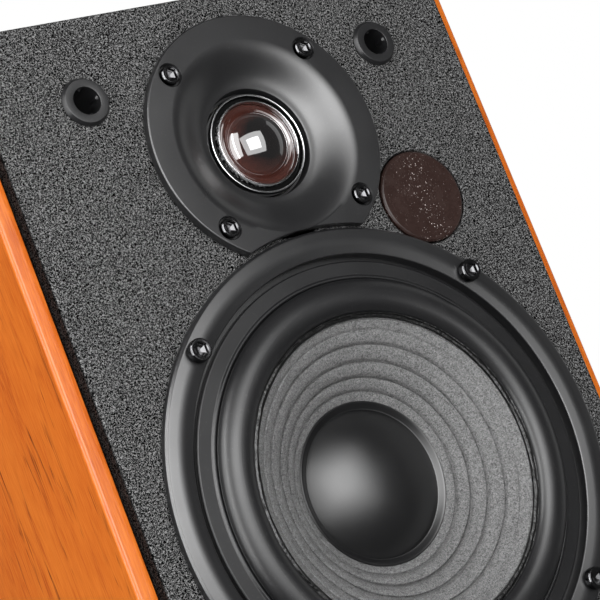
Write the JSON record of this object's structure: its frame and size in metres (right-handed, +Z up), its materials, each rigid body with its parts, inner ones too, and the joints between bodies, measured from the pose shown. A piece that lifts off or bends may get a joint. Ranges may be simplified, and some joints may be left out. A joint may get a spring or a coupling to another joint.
{
  "type": "powered desktop speaker",
  "caption": "Powered two-way desktop speaker: wooden cheeks, dome tweeter, ribbed-cone woofer, grille sockets, sensor window, reflex port and rear amplifier with controls.",
  "frame": {"origin": "middle of the footprint, on the surface that the speaker stands on", "axes": "+Z up, the front baffle faces -Y, +X to the right when looking at the front"},
  "size_m": [0.144, 0.196, 0.234],
  "materials": {
    "veneer": "satin lacquered cherry veneer",
    "vinyl": "pebble-textured vinyl wrap over fibreboard",
    "faceplate": "satin",
    "frame_paint": "satin black",
    "rubber": "satin",
    "cone_paper": "grey fibrous",
    "dust_cap": "satin gloss",
    "dome_film": "glossy translucent brown",
    "chrome": "polished",
    "black_screw": "black oxide gloss",
    "window": "dark tinted",
    "spider_cloth": "resin-treated cloth",
    "winding": "enamelled copper wire",
    "plated_steel": "zinc plated",
    "ferrite": "ground ferrite",
    "circuit_board": "solder mask",
    "black_aluminium": "black anodised",
    "red_plastic": "moulded",
    "capacitor_sleeve": "shrink sleeve over aluminium",
    "black_plastic": "moulded"
  },
  "bodies": {
    "cabinet": {"amp_plate": "black_aluminium", "amplifier_board": "circuit_board", "cabinet_wrap": "vinyl", "control_board": "circuit_board", "foot_front_left": "rubber", "foot_front_right": "rubber", "foot_rear_left": "rubber", "foot_rear_right": "rubber", "front_baffle": "vinyl", "grille_socket_lower_left": "rubber", "grille_socket_lower_right": "rubber", "grille_socket_upper_left": "rubber", "grille_socket_upper_right": "rubber", "heat_sink": "black_aluminium", "mains_inlet": "black_plastic", "phono_panel": "black_plastic", "plate_screw_1": "black_screw", "plate_screw_2": "black_screw", "plate_screw_3": "black_screw", "plate_screw_4": "black_screw", "port_tube": "black_plastic", "rear_panel": "vinyl", "reservoir_capacitor": "capacitor_sleeve", "sensor_board": "circuit_board", "sensor_window": "window", "side_cheek_left": "veneer", "side_cheek_right": "veneer", "switch_housing": "black_plastic", "terminal_block": "black_plastic", "transformer": "plated_steel", "tweeter_faceplate": "faceplate", "tweeter_magnet": "ferrite", "tweeter_screw_1": "black_screw", "tweeter_screw_2": "black_screw", "tweeter_screw_3": "black_screw", "tweeter_screw_4": "black_screw", "tweeter_top_plate": "plated_steel", "tweeter_trim_ring": "chrome", "tweeter_yoke": "plated_steel", "woofer_frame": "frame_paint", "woofer_magnet": "ferrite", "woofer_screw_1": "black_screw", "woofer_screw_2": "black_screw", "woofer_screw_3": "black_screw", "woofer_screw_4": "black_screw", "woofer_spider": "spider_cloth", "woofer_surround": "rubber", "woofer_top_plate": "plated_steel", "woofer_yoke": "plated_steel"},
    "cone": {"woofer_cone": "cone_paper", "woofer_dust_cap": "dust_cap", "woofer_coil": "winding"},
    "dome": {"tweeter_dome": "dome_film", "tweeter_coil": "winding"},
    "treble_knob": {"treble_knob": "black_plastic"},
    "bass_knob": {"bass_knob": "black_plastic"},
    "volume_knob": {"volume_knob": "black_plastic"},
    "rocker": {"switch_rocker": "black_plastic"},
    "red_lever": {"terminal_lever_red": "red_plastic"},
    "black_lever": {"terminal_lever_black": "black_plastic"}
  },
  "joints": [
    {"name": "woofer_excursion", "type": "slide", "parent": "cabinet", "child": "cone", "axis": [0, -1, 0], "range_m": [-0.004, 0.004], "stiffness_N_per_m": 1100, "deforming": ["woofer_surround", "woofer_spider"]},
    {"name": "tweeter_excursion", "type": "slide", "parent": "cabinet", "child": "dome", "axis": [0, -1, 0], "range_m": [-0.0002, 0.0002], "stiffness_N_per_m": 3000},
    {"name": "treble_turn", "type": "hinge", "parent": "cabinet", "child": "treble_knob", "pos_m": [-0.03, 0.0903, 0.185], "axis": [0, 1, 0], "range_deg": [-150, 150]},
    {"name": "bass_turn", "type": "hinge", "parent": "cabinet", "child": "bass_knob", "pos_m": [0, 0.0903, 0.185], "axis": [0, 1, 0], "range_deg": [-150, 150]},
    {"name": "volume_turn", "type": "hinge", "parent": "cabinet", "child": "volume_knob", "pos_m": [0.03, 0.0903, 0.185], "axis": [0, 1, 0], "range_deg": [-150, 150]},
    {"name": "power_rock", "type": "hinge", "parent": "cabinet", "child": "rocker", "pos_m": [0.025, 0.0873, 0.053], "axis": [1, 0, 0], "range_deg": [0, 20]},
    {"name": "red_lever_press", "type": "hinge", "parent": "cabinet", "child": "red_lever", "pos_m": [0.017, 0.0893, 0.1515], "axis": [1, 0, 0], "range_deg": [-20, 0], "stiffness_Nm_per_rad": 0.05, "springref_deg": 5.73},
    {"name": "black_lever_press", "type": "hinge", "parent": "cabinet", "child": "black_lever", "pos_m": [0.033, 0.0893, 0.1515], "axis": [1, 0, 0], "range_deg": [-20, 0], "stiffness_Nm_per_rad": 0.05, "springref_deg": 5.73}
  ]
}
